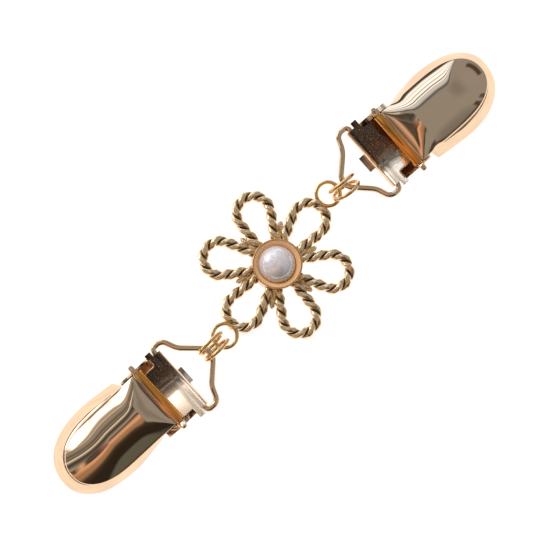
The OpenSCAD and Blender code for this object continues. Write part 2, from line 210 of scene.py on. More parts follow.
def into_wire(piece, radius, sides):
    """Turns a line of edges into a round wire with closed ends."""
    only(piece)
    bpy.ops.object.convert(target="CURVE")
    line = bpy.context.active_object.data
    line.bevel_depth = radius * MM
    line.bevel_resolution = sides // 2 - 2
    line.use_fill_caps = True
    bpy.ops.object.convert(target="MESH")
    piece = bpy.context.active_object
    tidy_mesh(piece)
    return piece


def turned(name, profile, sides):
    """A solid of rotation round Z, extruded ring by ring along (radius, height) pairs."""
    r, z = profile[0]
    piece = start(name, bpy.ops.mesh.primitive_circle_add, vertices=sides, radius=r * MM,
                  location=(0, 0, z * MM), fill_type="NGON")
    bpy.ops.object.transform_apply(location=True)
    bpy.ops.object.mode_set(mode="EDIT")
    bpy.ops.mesh.select_all(action="SELECT")
    for next_r, next_z in profile[1:]:
        bpy.ops.mesh.extrude_region_move(
            TRANSFORM_OT_translate={"value": (0, 0, (next_z - z) * MM)})
        ratio = next_r / r
        bpy.ops.transform.resize(value=(ratio, ratio, 1), center_override=(0, 0, 0))
        r, z = next_r, next_z
    bpy.ops.mesh.select_all(action="SELECT")
    bpy.ops.mesh.normals_make_consistent(inside=False)
    done()
    return piece


def rod(name, x, z, radius, y_low, y_high, bevel=0.12, sides=48):
    """A round rod along Y with bevelled ends."""
    length = y_high - y_low
    piece = turned(name, [
        (radius - bevel, 0), (radius - bevel * 0.3, bevel * 0.3), (radius, bevel),
        (radius, length - bevel), (radius - bevel * 0.3, length - bevel * 0.3),
        (radius - bevel, length)], sides)
    return settle(piece, shift(x, y_high, z) @ turn("X", 90), smooth=None)


def ring_of_wire(name, mid_r, wire_r, steps, slit=0.0):
    """A wire ring in the XY plane: a circle spun round Z, with a slit of the given degrees."""
    piece = start(name, bpy.ops.mesh.primitive_circle_add, vertices=16, radius=wire_r * MM,
                  location=(mid_r * MM, 0, 0), rotation=(math.radians(90), 0, 0))
    bpy.ops.object.transform_apply(location=True, rotation=True)
    bpy.ops.object.mode_set(mode="EDIT")
    bpy.ops.mesh.select_all(action="SELECT")
    bpy.ops.mesh.spin(steps=steps, angle=math.radians(360 - slit), center=(0, 0, 0),
                      axis=(0, 0, 1), use_auto_merge=slit == 0)
    done()
    if slit:
        close_ends(piece)
    tidy_mesh(piece)
    return piece


# Materials

class Wiring:
    """The nodes of one material or of the room, with short forms for the kinds used here."""

    def __init__(self, owner):
        owner.use_nodes = True
        self.tree = owner.node_tree
        self.nodes = self.tree.nodes

    def plug(self, socket, value):
        """Links an output to a socket, or sets the socket to a plain value."""
        if hasattr(value, "links"):
            self.tree.links.new(value, socket)
        else:
            socket.default_value = value

    def add(self, kind, inputs=None, **settings):
        """Adds a node, sets it and plugs its inputs."""
        node = self.nodes.new(kind)
        for key, value in settings.items():
            setattr(node, key, value)
        for key, value in (inputs or {}).items():
            self.plug(node.inputs[key], value)
        return node

    def shade(self, inputs):
        """Plugs inputs of the material's own shader."""
        for key, value in inputs.items():
            self.plug(self.nodes["Principled BSDF"].inputs[key], value)

    def feed(self, key):
        """The output that is linked to one of the shader's inputs so far."""
        return self.nodes["Principled BSDF"].inputs[key].links[0].from_socket

    def on_piece(self):
        """The place on the piece itself, in metres."""
        return self.add("ShaderNodeTexCoord").outputs["Object"]

    def apart(self, vector):
        """The three numbers of a vector."""
        node = self.add("ShaderNodeSeparateXYZ", {"Vector": vector})
        return [node.outputs[axis] for axis in "XYZ"]

    def maths(self, operation, *values):
        return self.add("ShaderNodeMath", dict(enumerate(values)), operation=operation).outputs["Value"]

    def both(self, value, *others):
        """The product of two or more values."""
        for other in others:
            value = self.maths("MULTIPLY", value, other)
        return value

    def step(self, value, low, high):
        """A smooth step, 0 at low and 1 at high."""
        return self.add("ShaderNodeMapRange", {"Value": value, "From Min": low, "From Max": high},
                        interpolation_type="SMOOTHSTEP").outputs["Result"]

    def noise(self, place, scale, detail):
        inputs = {"Vector": place, "Scale": scale, "Detail": detail}
        return self.add("ShaderNodeTexNoise", inputs).outputs["Fac"]

    def mixed(self, mask, low, high, blend="MIX"):
        """One colour where the mask is 0, the other where it is 1."""
        inputs = {"Factor": mask}
        for key, value in (("A", low), ("B", high)):
            inputs[key] = value if hasattr(value, "links") else (*value, 1)
        return self.add("ShaderNodeMix", inputs, data_type="RGBA", blend_type=blend).outputs["Result"]

    def ramp(self, value, stops):
        """The colours of the stops, each a place from 0 to 1 and a colour, at a value."""
        node = self.add("ShaderNodeValToRGB", {"Fac": value})
        elements = node.color_ramp.elements
        while len(elements) < len(stops):
            elements.new(0.5)
        for element, (place, colour) in zip(elements, stops):
            element.position = place
            element.color = (*colour, 1)
        return node.outputs["Color"]

    def bump(self, height, strength, distance):
        inputs = {"Height": height, "Strength": strength, "Distance": distance}
        return self.add("ShaderNodeBump", inputs).outputs["Normal"]


def polished_metal(name, colour, roughness, scratch, ripple=0.0):
    """Plated metal: a clear base colour with faint clouds, hairlines and a little ripple."""
    material = bpy.data.materials.new(name)
    wires = Wiring(material)
    place = wires.on_piece()
    clouds = wires.noise(place, 260.0, 3.0)
    hair_inputs = {"Vector": place, "Scale": (900.0, 5200.0, 900.0), "Rotation": (0, 0, math.radians(12))}
    hair_place = wires.add("ShaderNodeMapping", hair_inputs).outputs["Vector"]
    gloss = wires.add("ShaderNodeMapRange", {
        "Value": wires.noise(hair_place, 1.0, 2.0), "From Min": 0.3, "From Max": 0.75,
        "To Min": roughness, "To Max": roughness + scratch})
    wires.shade({
        "Base Color": wires.mixed(clouds, colour, [part * 0.92 for part in colour]),
        "Metallic": 1.0, "Roughness": gloss.outputs["Result"]})
    if ripple:
        wires.shade({"Normal": wires.bump(wires.noise(place, 420.0, 1.0), ripple, 0.1 * MM)})
    return material


def rope_metal(name, colour):
    """Cast gold with painted shade that browns the grooves between the rope's strands."""
    material = polished_metal(name, colour, 0.2, 0.08, ripple=0.3)
    wires = Wiring(material)
    # Painted shade: the groove attribute mixes dark brown into the base colour between the strands
    groove = wires.add("ShaderNodeAttribute", attribute_name="groove").outputs["Fac"]
    wires.shade({
        "Base Color": wires.mixed(groove, wires.feed("Base Color"), (0.24, 0.12, 0.05)),
        "Metallic": 0.93, "Coat Weight": 0.6, "Coat Roughness": 0.12, "Coat IOR": 2.0})
    return material


def satin_cup(name):
    """The cup's slope: pale satin gold, part matt so that it glows round the pearl."""
    material = polished_metal(name, (0.90, 0.54, 0.27), 0.22, 0.02)
    Wiring(material).shade({"Metallic": 0.2})
    return material


def plate_with_painted_shade(name, colour):
    """Plated sheet: satin, with painted shade on its far half (browned, with clear specks), on its tab and inside
    its side notch, and dished so that its near end shines.
    """
    material = polished_metal(name, colour, 0.15, 0.05)
    wires = Wiring(material)
    maths, both, step = wires.maths, wires.both, wires.step
    place = wires.add("ShaderNodeAttribute", attribute_name="clip_place").outputs["Vector"]
    ahead, across, height = wires.apart(place)
    # Painted shade, near-black brown, on the upper sheet's far half, with a wandering edge and clear specks where
    # it is left out
    wander = maths("MULTIPLY_ADD", wires.noise(place, 0.8, 3.0), 3.0, -1.5)
    specks = step(wires.noise(place, 4.5, 1.0), 0.73, 0.64)
    painted_shade = both(step(maths("ADD", across, wander), -5.5, 0.5), step(ahead, 0.3, 0.7),
                 step(height, 1.6, 2.6), step(height, 3.7, 3.3), specks)
    # Painted shade on the tab behind the roll, at 0.6 strength
    tab_shade = both(step(ahead, 0.0, -0.15), 0.6)
    painted_shade = both(maths("MAXIMUM", painted_shade, tab_shade), 0.95)
    shaded_colour = wires.mixed(painted_shade, wires.feed("Base Color"), (0.10, 0.056, 0.034))
    # Painted shade in the side notch: a deep orange, part matt colour on the faces that look up inside it
    upward = wires.apart(wires.add("ShaderNodeTexCoord").outputs["Normal"])[2]
    inside = both(step(height, 1.4, 0.9), step(ahead, 2.4, 2.9), step(upward, 0.3, 0.6))
    # The near end's dish: a bend that goes on as a straight slope
    near = maths("MAXIMUM", maths("SUBTRACT", -1.0, across), 0.0)
    bent = maths("MINIMUM", near, 3.4)
    dish = maths("MULTIPLY_ADD", both(bent, bent), 0.105, both(maths("SUBTRACT", near, bent), 0.715))
    wires.shade({
        "Base Color": wires.mixed(inside, shaded_colour, (0.62, 0.21, 0.05)),
        "Metallic": maths("MULTIPLY_ADD", inside, -0.6, 1.0),
        "Normal": wires.bump(dish, 1.0, MM)})
    return material


def nacre(name):
    """Half-pearl: warm white with a lavender and peach bloom under a glossy coat."""
    material = bpy.data.materials.new(name)
    wires = Wiring(material)
    bloom = wires.noise(wires.on_piece(), 330.0, 2.0)
    wires.shade({
        "Base Color": wires.ramp(bloom, [(0.35, (0.62, 0.56, 0.565)), (0.65, (0.72, 0.65, 0.61))]),
        "Roughness": 0.3, "Specular IOR Level": 0.9, "Coat Weight": 1.0, "Coat Roughness": 0.16,
        "Coat IOR": 2.6, "Sheen Weight": 0.15, "Sheen Tint": (1.0, 0.85, 0.9, 1)})
    return material


FINISHES = {
    "gold_cast": rope_metal("gold_cast", (1.0, 0.73, 0.40)),
    "gold_cup": satin_cup("gold_cup"),
    "gold_wire": polished_metal("gold_wire", (0.90, 0.66, 0.43), 0.07, 0.08),
    "gold_ring": polished_metal("gold_ring", (0.93, 0.63, 0.30), 0.08, 0.08),
    "gold_plate": plate_with_painted_shade("gold_plate", (0.93, 0.70, 0.49)),
    "gold_pin": polished_metal("gold_pin", (0.88, 0.66, 0.40), 0.10, 0.10),
    "gold_cover": polished_metal("gold_cover", (0.87, 0.62, 0.405), 0.02, 0.03),
    "gold_barrel": polished_metal("gold_barrel", (0.95, 0.41, 0.09), 0.16, 0.08),
    "pearl": nacre("pearl"),
}


# The room that the bright metal mirrors. Each form is laid out by the direction in which it is seen

CEILING = (0.345, 0.37, 0.395)


def grey(value):
    return (value, value, value)


def across(stops):
    """Stops with places from -1 to 1 as a ramp takes them."""
    return [((place + 1) / 2, colour) for place, colour in stops]


def streaked_ceiling(wires, x, y):
    """A plain ceiling over +X, and streaks over -X, one beside the other across Y."""
    maths, both, step = wires.maths, wires.both, wires.step
    past = maths("MINIMUM", maths("ADD", x, 0.1), 0.0)
    curl = both(past, past, 0.7)
    slanted = maths("SUBTRACT", maths("SUBTRACT", y, both(x, 0.4)), curl)
    streaks = wires.ramp(maths("MULTIPLY_ADD", slanted, 0.5, 0.5), across((
        (-1.0, (0.13, 0.15, 0.145)), (-0.92, (0.13, 0.15, 0.145)), (-0.86, (0.03, 0.026, 0.022)),
        (-0.6, (0.035, 0.028, 0.022)), (-0.46, (0.075, 0.06, 0.046)), (-0.39, (0.26, 0.18, 0.12)),
        (-0.31, (0.44, 0.31, 0.22)), (-0.24, (0.42, 0.25, 0.14)), (-0.15, (0.62, 0.38, 0.25)),
        (-0.07, (0.86, 0.60, 0.48)), (-0.03, (0.55, 0.32, 0.22)), (-0.01, (0.12, 0.08, 0.06)),
        (0.02, (0.14, 0.10, 0.08)), (0.06, grey(0.42)), (0.12, grey(0.36)), (0.17, grey(0.2)),
        (0.26, grey(0.09)), (0.33, grey(0.07)), (0.37, grey(0.3)), (0.41, grey(0.34)), (0.43, grey(0.95)),
        (0.46, grey(0.95)), (0.49, grey(0.3)), (0.54, grey(0.1)), (0.57, grey(0.32)), (0.64, grey(0.13)),
        (0.69, grey(0.24)), (0.76, grey(0.4)), (0.8, grey(0.25)), (0.84, grey(0.75)), (0.88, grey(0.35)),
        (0.93, grey(1.1)))))
    plain = wires.mixed(both(step(y, -0.78, -1.0), 0.5), CEILING, grey(0.1))
    return wires.mixed(step(x, 0.2, 0.145), plain, streaks)


def lamp_and_wall(wires, sky, x, y):
    """What a level slope over -X mirrors: a lamp, a dark gap and a rosy wall, one behind the other."""
    maths, both, step = wires.maths, wires.both, wires.step
    along = maths("MULTIPLY_ADD", x, 0.5, 0.5)
    behind = wires.ramp(along, across((
        (-0.83, (0.10, 0.07, 0.05)), (-0.79, (0.46, 0.34, 0.28)), (-0.72, (0.95, 0.64, 0.50)),
        (-0.68, (0.75, 0.50, 0.39)), (-0.62, (0.13, 0.08, 0.055)), (-0.56, (0.055, 0.045, 0.045)),
        (-0.32, (0.06, 0.045, 0.04)), (-0.2, (0.24, 0.12, 0.09)), (-0.1, (0.34, 0.21, 0.17)),
        (0.05, (0.45, 0.33, 0.31)), (0.2, (0.36, 0.32, 0.31)))))
    half_width = wires.ramp(along, across((
        (-0.88, grey(0.0)), (-0.83, grey(0.06)), (-0.62, grey(0.06)), (-0.5, grey(0.08)), (-0.3, grey(0.08)),
        (-0.1, grey(0.1)), (0.0, grey(0.08)), (0.07, grey(0.03)), (0.1, grey(0.01)))))
    away = maths("DIVIDE", maths("ABSOLUTE", y), maths("MAXIMUM", half_width, 0.01))
    level = both(step(away, 1.3, 0.7), step(x, -0.9, -0.85), step(x, 0.1, 0.05))
    return wires.mixed(both(level, 0.85), sky, behind)


def dim_and_pale(wires, sky, x, y):
    """What a level slope over +X mirrors: a dim place, then a pale one."""
    both, step = wires.both, wires.step
    middle = step(wires.maths("ABSOLUTE", y), 0.6, 0.1)
    dim = both(step(x, 0.27, 0.5), step(x, 0.74, 0.56), middle)
    sky = wires.mixed(both(dim, 0.32), sky, (0.10, 0.09, 0.11))
    pale = both(step(x, 0.68, 0.78), step(x, 0.97, 0.86), middle)
    return wires.mixed(both(pale, 0.6), sky, (0.37, 0.38, 0.46))


def low_things(wires, sky, x, y, z):
    """Dark things low down, beside each other round the room."""
    maths, both, step = wires.maths, wires.both, wires.step
    azimuth = maths("ADD", maths("DIVIDE", maths("ARCTAN2", y, x), 2 * math.pi), 0.5)
    things = wires.ramp(azimuth, [
        (0.0, grey(0.0)), (0.325, grey(0.0)), (0.33, grey(0.9)), (0.34, grey(0.9)), (0.345, grey(0.0)),
        (0.353, grey(0.0)), (0.358, grey(0.8)), (0.37, grey(0.8)), (0.375, grey(0.0)),
        (0.475, grey(0.0)), (0.48, grey(0.9)), (0.565, grey(0.9)), (0.57, grey(0.0)), (1.0, grey(0.0))])
    low = both(step(z, 0.4, 0.35), step(z, 0.24, 0.3), step(y, -0.35, -0.25))
    lower = both(step(z, 0.26, 0.2), step(y, -0.4, -0.5))
    return wires.mixed(both(things, maths("MAXIMUM", low, lower)), sky, (0.07, 0.045, 0.03))


def banded_window(wires, sky, x, y, z):
    """A lens of bright bands beyond +Y, over +X."""
    maths, both, step = wires.maths, wires.both, wires.step
    off = maths("SUBTRACT", x, 0.36)
    curve = maths("MULTIPLY_ADD", step(off, 0.0, 0.2), 5.0, 3.2)
    top = maths("SUBTRACT", 0.92, both(off, off, curve))
    share = maths("DIVIDE", maths("ARCTAN2", z, y), maths("MAXIMUM", top, 0.05))
    bands = wires.ramp(both(share, 0.8), [
        (0.0, grey(0.1)), (0.09, grey(0.12)), (0.12, grey(0.8)), (0.18, grey(1.0)), (0.2, grey(0.6)),
        (0.22, grey(0.6)), (0.24, grey(1.0)), (0.33, grey(0.9)), (0.345, grey(0.28)), (0.365, grey(0.28)),
        (0.38, grey(0.95)), (0.47, grey(0.9)), (0.49, grey(0.12)), (0.52, grey(0.12)), (0.54, grey(0.9)),
        (0.6, grey(0.75)), (0.615, grey(0.3)), (0.63, grey(0.3)), (0.65, grey(0.6)), (0.75, grey(0.4)),
        (0.8, grey(0.28)), (0.84, grey(0.08)), (0.9, grey(0.12)), (0.96, grey(0.18))])
    lens = both(step(y, 0.0, 0.1), step(share, 1.25, 1.15), step(x, 0.72, 0.66), step(x, 0.145, 0.18))
    return wires.mixed(lens, sky, wires.mixed(1.0, bands, (1.45, 1.75, 2.2), blend="MULTIPLY"))


def bright_pane(wires, sky, x, y):
    """A plain bright pane beyond +Y, over -X, with one dark line."""
    maths, both, step = wires.maths, wires.both, wires.step
    edge = maths("SUBTRACT", y, both(x, 0.35))
    line = step(maths("ABSOLUTE", maths("SUBTRACT", edge, 0.985)), 0.012, 0.006)
    pane = both(step(edge, 0.915, 0.94), step(x, 0.16, 0.1), step(x, -0.55, -0.45),
                maths("MULTIPLY_ADD", line, -0.7, 1.0))
    return wires.mixed(pane, sky, (2.6, 2.9, 3.4))


def room():
    world = bpy.data.worlds.new("room")
    bpy.context.scene.world = world
    wires = Wiring(world)
    x, y, z = wires.apart(wires.add("ShaderNodeTexCoord").outputs["Generated"])
    sky = streaked_ceiling(wires, x, y)
    sky = lamp_and_wall(wires, sky, x, y)
    sky = dim_and_pale(wires, sky, x, y)
    sky = low_things(wires, sky, x, y, z)
    sky = banded_window(wires, sky, x, y, z)
    sky = bright_pane(wires, sky, x, y)
    dark_foot = wires.step(z, 0.12, 0.04)
    wires.plug(wires.nodes["Background"].inputs["Color"], wires.mixed(dark_foot, sky, (0.09, 0.07, 0.055)))


def table():
    """White paper that glows a little, so that it stays evenly white under the clip."""
    piece = start("table", bpy.ops.mesh.primitive_plane_add, size=6)
    piece.location.z = -0.02 * MM
    paper = bpy.data.materials.new("table_paper")
    wires = Wiring(paper)
    grain = wires.noise(wires.on_piece(), 90.0, 1.0)
    wires.shade({
        "Base Color": wires.ramp(grain, [(0.3, grey(0.22)), (0.7, grey(0.25))]),
        "Emission Color": wires.ramp(grain, [(0.38, grey(0.90)), (0.62, grey(1.02))]),
        "Emission Strength": 1.0, "Roughness": 0.9})
    piece.data.materials.append(paper)


def softbox(place, target, size, power):
    """A square soft light that looks at the target and isn't mirrored in the metal."""
    light = bpy.data.lights.new("softbox", "AREA")
    light.size = size
    light.energy = power
    lamp = bpy.data.objects.new("softbox", light)
    bpy.context.scene.collection.objects.link(lamp)
    lamp.location = place
    lamp.rotation_euler = (Vector(target) - Vector(place)).to_track_quat("-Z", "Y").to_euler()
    lamp.visible_glossy = False


def camera():
    """Looks down from about 600 mm, tilted a little towards clip b, with +X up to the right."""
    distance = 600 * MM
    field = 116 * MM
    sensor = 36
    tilt = math.radians(9)
    picture_turn = math.radians(41)
    aim = Vector((-1.78, -1.56, 2.0)) * MM
    back = Vector((-math.sin(tilt), 0, math.cos(tilt)))
    right = Vector((math.cos(picture_turn), -math.sin(picture_turn), 0))
    right = (right - back * right.dot(back)).normalized()
    above = back.cross(right)
    lens = bpy.data.cameras.new("camera")
    lens.sensor_width = sensor
    lens.lens = sensor * distance / field
    lens.clip_start, lens.clip_end = 0.01, 20
    eye = bpy.data.objects.new("camera", lens)
    bpy.context.scene.collection.objects.link(eye)
    axes = Matrix((right, above, back)).transposed().to_4x4()
    eye.matrix_world = Matrix.Translation(aim + back * distance) @ axes
    bpy.context.scene.camera = eye


# The flower, its cup and its pearl

FLOWER_TURN = 12.4
PETALS = 6
ROPE_R = 1.26
ROPE_TURNS = 5
# Where a leg's middle line starts: out from the flower's centre, and aside
ROOT_OUT, ROOT_ASIDE = 4.6, 1.75
# Middle and radius of the petal's round end
BEND_OUT, BEND_R = 11.95, 3.66
WEB_R, WEB_LEN = 0.95, 4.2
WEB_OUT, WEB_Z = 5.2, 1.05
# Places along a web past which it narrows once more, and by how much
WEB_TAPER = ((2.2, 0.92), (2.7, 0.9), (3.2, 0.86), (3.6, 0.8), (3.85, 0.7), (4.05, 0.5))
# A neck's radius along its length
NECK = ((0.35, 0), (0.62, 0.25), (0.5, 0.8), (0.42, 1.4))
NECK_OUT, NECK_Z, NECK_LEAN = 14.9, 1.25, 76
EYE_OUT, EYE_Z = 18.7, 1.8
EYE_MID_R, EYE_WIRE_R = 2.55, 0.45
CUP_R, CUP_TOP, CUP_RIM = 5.35, 3.4, 0.3
PEARL_R, PEARL_Z = 4.0, 1.55


def rope_path():
    """The middle line of one petal's rope, as a curve that starts and ends inside the cup."""
    run = BEND_OUT - ROOT_OUT
    heading = math.asin(BEND_R / math.hypot(run, ROOT_ASIDE)) - math.atan2(ROOT_ASIDE, run)
    root = Vector((ROOT_OUT, ROOT_ASIDE, 0))
    leg_end = Vector((BEND_OUT - BEND_R * math.sin(heading), BEND_R * math.cos(heading), 0))
    far_root, far_end = (Vector((end.x, -end.y, 0)) for end in (root, leg_end))
    piece = path("rope_path", [root, leg_end])
    edit(piece)
    pick_at(piece, leg_end)
    bpy.ops.mesh.spin(steps=64, angle=math.pi + 2 * heading, center=(BEND_OUT * MM, 0, 0),
                      axis=(0, 0, 1))
    pick_at(piece, far_end)
    bpy.ops.mesh.extrude_region_move(TRANSFORM_OT_translate={"value": (far_root - far_end) * MM})
    done()
    only(piece)
    bpy.ops.object.convert(target="CURVE")
    return bpy.context.active_object


def strand_radius(angle):
    """Share of the rope's radius at an angle: two strands side by side, each of three finer wires."""
    lobe = 0.4 + 0.6 * abs(math.cos(angle)) ** 0.85
    wires = 0.03 * math.cos(6 * angle)
    return min(1.0, lobe + wires)


def twisted(name, radius, length, degrees, sides, steps, first=0):
    """A straight rope along X with open ends: the strands' section, turned as it goes."""
    rope = start(name, bpy.ops.mesh.primitive_circle_add, vertices=sides, radius=radius * MM,
                 rotation=(0, math.radians(90), 0))
    bpy.ops.object.transform_apply(rotation=True)
    for point in rope.data.vertices:
        point.co *= strand_radius(math.atan2(point.co.z, point.co.y) + math.radians(first))
    modify(rope, "SCREW", axis="X", angle=-math.radians(degrees), screw_offset=length * MM, steps=steps,
           render_steps=steps, use_merge_vertices=False, use_smooth_shade=True)
    return rope


def petals():
    """One petal's twisted rope, bent along its line and repeated round the cup."""
    line = rope_path()
    length = line.data.splines[0].calc_length() / MM
    rope = twisted("rope_petals", ROPE_R, length, 360 * ROPE_TURNS, sides=40, steps=220)
    # Painted shade for the rope's material: 1 deep in the grooves between the strands, 0 on their tops
    groove = rope.data.attributes.new("groove", "FLOAT", "POINT")
    for point, value in zip(rope.data.vertices, groove.data):
        value.value = share_between(math.hypot(point.co.y, point.co.z) / (ROPE_R * MM), 0.8, 0.55)
    close_ends(rope)
    modify(rope, "CURVE", object=line, deform_axis="POS_X")
    bpy.data.objects.remove(line)
    rope.location.z = ROPE_R * MM
    settle(rope, turn("Z", FLOWER_TURN), smooth=60)
    ropes = [rope]
    for i in range(1, PETALS):
        ropes.append(settle(copy_of(rope, f"rope_{i}"), turn("Z", 360 / PETALS * i), smooth=None))
    return joined(ropes, "rope_petals")


def webs():
    """Cast metal that fills the forks between the petals' legs, and the necks of the eyes."""
    forks = []
    for i in range(PETALS):
        web = twisted(f"web_{i}", WEB_R, WEB_LEN, 300, sides=28, steps=48, first=60)
        close_ends(web)
        edit(web)
        for limit, ratio in WEB_TAPER:
            pick(web, lambda co: co.x > limit * MM)
            bpy.ops.transform.resize(value=(1, ratio, ratio), center_override=(0, 0, 0))
        done()
        fork_turn = FLOWER_TURN + 360 / PETALS * (i + 0.5)
        forks.append(settle(web, turn("Z", fork_turn) @ shift(WEB_OUT, 0, WEB_Z), smooth=60))
    for way in (0, 180):
        place = turn("Z", FLOWER_TURN + way) @ shift(NECK_OUT, 0, NECK_Z) @ turn("Y", NECK_LEAN)
        forks.append(settle(turned(f"neck_{way}", NECK, sides=20), place, smooth=None))
    return joined(forks, "leg_webs")


def eyes():
    """The two round eyes that the jump rings hang in."""
    rings = []
    for way in (0, 180):
        place = turn("Z", FLOWER_TURN + way) @ shift(EYE_OUT, 0, EYE_Z)
        rings.append(settle(ring_of_wire(f"eye_{way}", EYE_MID_R, EYE_WIRE_R, steps=64), place, smooth=None))
    return joined(rings, "eyes")


def cup():
    """The round cup: a thin bright rim, a fine groove and a wide slope down to the pearl."""
    slope_r = CUP_R - CUP_RIM
    wall = turned("cup", [
        (CUP_R - 0.25, 0), (CUP_R, 0.25), (CUP_R, CUP_TOP - 0.14), (CUP_R - 0.05, CUP_TOP - 0.03),
        (CUP_R - 0.14, CUP_TOP), (CUP_R - 0.25, CUP_TOP - 0.03), (slope_r, CUP_TOP - 0.14),
        (slope_r - 0.02, CUP_TOP - 0.34), (slope_r - 0.1, CUP_TOP - 0.5), (3.0, 1.5)], sides=96)
    slope = turned("cup_slope", [
        (3.9, 1.6), (slope_r - 0.04, 2.3), (slope_r - 0.03, CUP_TOP - 0.26), (slope_r - 0.08, CUP_TOP - 0.22),
        (4.5, 2.76), (4.12, 2.42), (4.07, 2.3), (PEARL_R, 1.7)], sides=96)
    return wall, slope


def pearl():
    """The upper half of a ball, with a flat foot."""
    piece = start("pearl", bpy.ops.mesh.primitive_uv_sphere_add, segments=96, ring_count=64,
                  radius=PEARL_R * MM, location=(0, 0, PEARL_Z * MM))
    bpy.ops.object.transform_apply(location=True)
    bpy.ops.object.mode_set(mode="EDIT")
    bpy.ops.mesh.select_all(action="SELECT")
    bpy.ops.mesh.bisect(plane_co=(0, 0, (PEARL_Z + 0.01) * MM), plane_no=(0, 0, 1), clear_inner=True,
                        use_fill=True)
    done()
    return piece


# Rings and bails

RING_MID_R, RING_WIRE_R, RING_OUTER_D = 3.075, 0.42, 7.0
# Distance between the feet of a pair of rings, and how far each ring leans away from the other
RING_STEP, RING_FAN = 0.97, 8
RING_SLIT = 2.2
# Height of the wire's middle where a ring stands on the surface
RING_FOOT_Z = 0.425
# For each side: its turn, the way from the eye to the rings, how far they lie past the eye's wire
# as a share of their outer diameter, their yaw and their lean
RING_PAIRS = {"a": (0, -18, 0.116, -3, 11), "b": (180, 3.7, 0.14, 2.9, 1.1)}

BAIL_WIRE_R = 0.65
BAIL_LEN, BAIL_HALF, BAIL_RISE = 8.5, 8.7, 0.4
# Half the bail's width where the flat apex would meet the long leg
APEX_Y = 1.179
LEG_ANGLE, FOOT_ANGLE = 44, 68
SHOULDER_X = -2.8
HINGE_END = 3.6
# Bend radii at the apex, the foot, the shoulder and the hinge
APEX_BEND, FOOT_BEND, SHOULDER_BEND, HINGE_BEND = 1.8, 4.0, 1.7, 1.0


def jump_ring(side, which):
    side_turn, link_turn, past, yaw, lean = RING_PAIRS[side]
    tilt, way = math.radians(lean), 2 * which - 3
    out = EYE_MID_R + RING_OUTER_D * past
    height = RING_MID_R * math.cos(tilt) + RING_FOOT_Z + RING_STEP / 2 * math.sin(tilt)
    place = turn("Z", side_turn) @ turn("Z", FLOWER_TURN) @ shift(EYE_OUT, 0, height)
    place = place @ turn("Z", link_turn - FLOWER_TURN) @ shift(out, 0, 0) @ turn("Z", yaw - link_turn)
    place = place @ turn("X", 90 + lean) @ shift(0, -RING_MID_R, way * RING_STEP / 2)
    place = place @ turn("X", way * RING_FAN) @ shift(0, RING_MID_R, 0)
    ring = ring_of_wire(f"jump_ring_{side}{which}", RING_MID_R, RING_WIRE_R, steps=90, slit=RING_SLIT)
    return settle(ring, place @ turn("Z", 90 + way * 40))


def bail(side):
    """Half a bail is a bent line from its apex to its hinge pin; the wire follows both halves."""
    leg, foot = (math.tan(math.radians(angle)) for angle in (LEG_ANGLE, FOOT_ANGLE))
    foot_x = (BAIL_HALF - APEX_Y - leg * BAIL_LEN - foot * SHOULDER_X) / (leg - foot)
    foot_y = APEX_Y + leg * (foot_x + BAIL_LEN)
    corners = [(-BAIL_LEN, APEX_Y, 0), (foot_x, foot_y, 0), (SHOULDER_X, BAIL_HALF, 0), (0, BAIL_HALF, 0)]
    bends = [(APEX_BEND, 90 - LEG_ANGLE), (FOOT_BEND, FOOT_ANGLE - LEG_ANGLE), (SHOULDER_BEND, FOOT_ANGLE),
             (HINGE_BEND, 90)]
    line = [(0, HINGE_END, 0)] + corners[::-1]
    line += [(x, -y, z) for x, y, z in line[::-1]]
    piece = path(f"bail_{side}", line)
    for (x, y, z), (radius, angle) in zip(corners, bends):
        trim = radius * math.tan(math.radians(angle / 2))
        for way in (1, -1):
            round_corner(piece, (x, way * y, z), trim, 10)
    piece = into_wire(piece, BAIL_WIRE_R, sides=20)
    rise = Matrix.Rotation(math.asin(BAIL_RISE / BAIL_LEN), 4, "Y")
    return settle(piece, hinge_place(side) @ rise, smooth=50)


# The lever clips, in the clip's own frame

# The roll that the bail turns in, the hinge pin, and the top of the plates
ROLL_X, ROLL_Z = 1.2, 1.75
PIN_X, PIN_Z = 7.3, 4.4
PIN_R, PIN_NEAR, PIN_FAR = 0.68, -9.3, 8.1
BARREL_R = 1.33
PLATE_TOP = 2.93
# The side notch: its rear and front end, its open side and its depth
NOTCH_REAR, NOTCH_FRONT = 3.2, 6.85
NOTCH_OPEN, NOTCH_DEPTH = -7.45, 1.75

CLIP_LEN = 33.5
DOME_HALF = 6.7
COVER_SHIFT = -0.6
TIP_ROUND = 13.0
# The tip's outline is a little fuller than an ellipse, which has a power of 1
TIP_POWER = 2 / 2.25
FRONT_X = CLIP_LEN - TIP_ROUND
REAR_X = 8.15
# Heights of the roof, of the crease below it from the rear to its lowest, and of the flange's edge
TOP_Z = 7.17
REAR_Z, CREASE_Z = 5.4, 3.95
CHEEK_Z, SKIRT_Z = 3.1, 0.7
CREASE_LOW_X = 15.0
# How far in the roof starts at the rear, and how round the dome's corners are there
ROOF_RUN = 5.0
HIP_ROUND = 4.5
DOME_POWER = 2.1
GROOVE = 0.22
COVER_WALL = 0.45
FLANGE_FAR, FLANGE_NEAR, FLANGE_TIP = 1.5, 2.6, 2.2
# Where the flange starts beyond the ear, where it has its first width and where its whole width
FLANGE_START, FLANGE_FIRST, FLANGE_WIDE = 10.95, 12.0, 19.0
# Share of its width that the flange has at first, on the far and the near side
FLANGE_GROWTH = (0.25, 0.7)
# Rows of the flange as shares of its width and height, rows of the dome as shares of its size
FLANGE_ROWS = ((1, 0), (0.985, 0.08), (0.93, 0.19), (0.81, 0.34), (0.58, 0.56), (0.34, 0.78), (0.13, 0.96),
               (0.05, 1))
DOME_ROWS = (1, 0.98, 0.92, 0.82, 0.7, 0.57, 0.43, 0.3, 0.18, 0.08)
